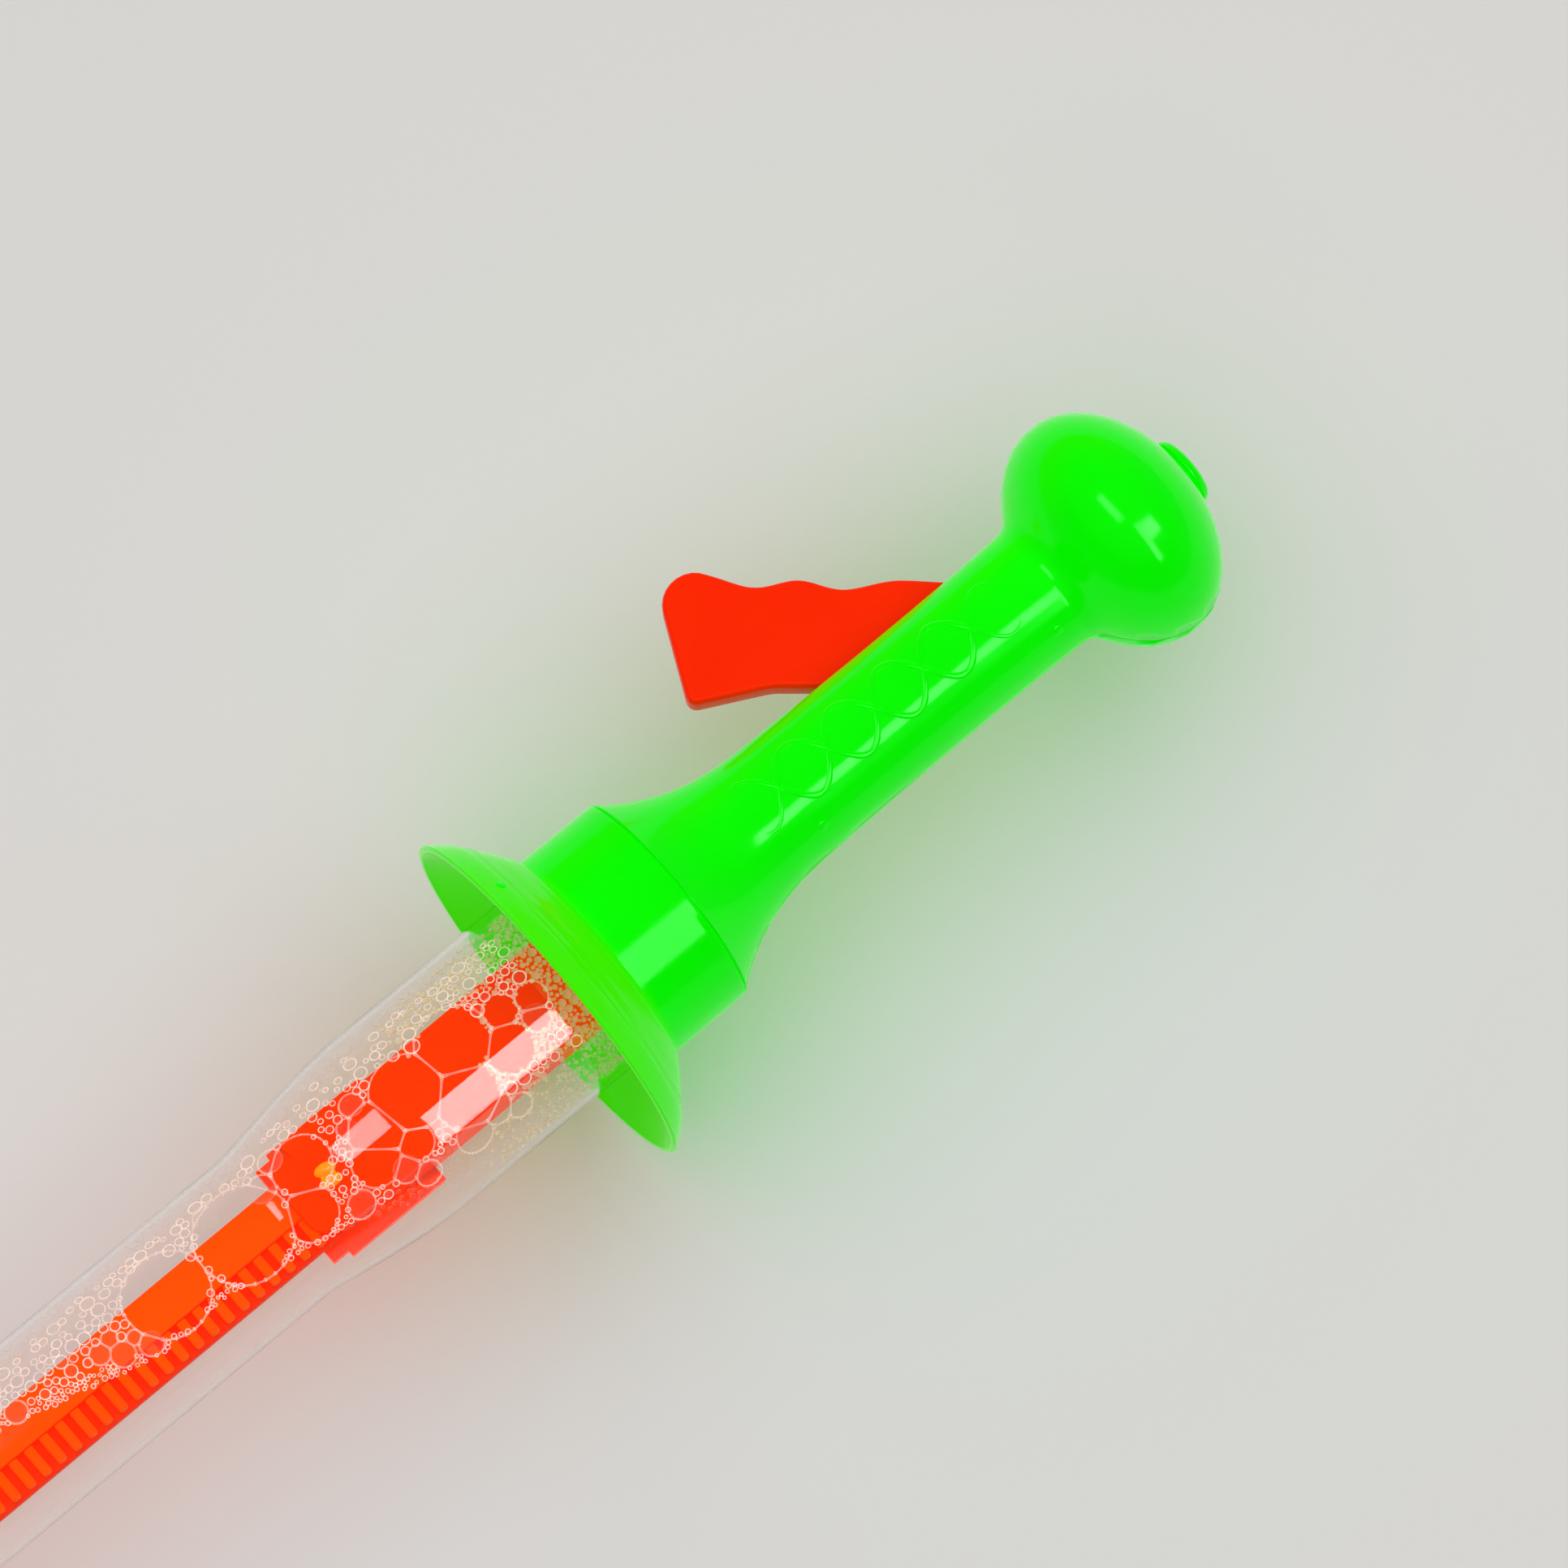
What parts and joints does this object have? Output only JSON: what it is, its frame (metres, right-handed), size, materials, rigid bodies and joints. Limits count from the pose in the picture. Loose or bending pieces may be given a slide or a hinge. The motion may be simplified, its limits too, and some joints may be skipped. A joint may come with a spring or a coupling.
{
  "type": "long bubble wand",
  "caption": "Toy bubble wand: clear liquid tube, bell drip guard and hollow handle with a squeeze trigger whose rod bows ribbed strips into a hoop.",
  "frame": {"origin": "centre of the tube's flat base", "axes": "+X along the wand from the tube's base to the pommel, +Y toward the trigger's nose, +Z square to the trigger's flat faces"},
  "size_m": [0.4596, 0.0887, 0.0788],
  "materials": {
    "green_plastic": "moulded, glossy",
    "orange_plastic": "moulded, glossy",
    "strip_plastic": "moulded, flexible",
    "amber_plastic": "moulded",
    "clear_plastic": "clear, blown",
    "seal_rubber": "moulded",
    "steel": "bright"
  },
  "bodies": {
    "handle": {"guard": "green_plastic", "neck_plug": "green_plastic", "mouth_seal": "seal_rubber", "stem_front": "orange_plastic", "stem_rear": "orange_plastic", "rod_gland": "seal_rubber", "base_rivet": "amber_plastic", "handle_upper_shell": "green_plastic", "handle_lower_shell": "green_plastic", "handle_screw_1": "steel", "handle_screw_2": "steel", "handle_screw_3": "steel", "handle_screw_4": "steel", "pommel_plug": "green_plastic", "trigger_pivot_pin": "steel", "strip_upper": "strip_plastic", "strip_lower": "strip_plastic", "return_spring": "steel"},
    "tube": {"tube": "clear_plastic"},
    "trigger": {"trigger": "orange_plastic"},
    "pull_rod": {"pull_rod": "orange_plastic", "drive_pin": "steel", "tip_rivet": "amber_plastic"}
  },
  "joints": [
    {"name": "tube_draw", "type": "slide", "parent": "handle", "child": "tube", "axis": [-1, 0, 0], "range_m": [0, 0.31]},
    {"name": "trigger_squeeze", "type": "hinge", "parent": "handle", "child": "trigger", "pos_m": [0.4052, 0.007, 0], "axis": [0, 0, 1], "range_deg": [0, 25], "stiffness_Nm_per_rad": 0.2, "springref_deg": -14.9},
    {"name": "rod_slide", "type": "slide", "parent": "handle", "child": "pull_rod", "axis": [1, 0, 0], "range_m": [0, 0.00533], "deforming": ["return_spring", "strip_upper", "strip_lower"]}
  ],
  "couplings": [
    {"joint": "rod_slide", "follows": "trigger_squeeze", "m_per_rad": 0.012194}
  ]
}
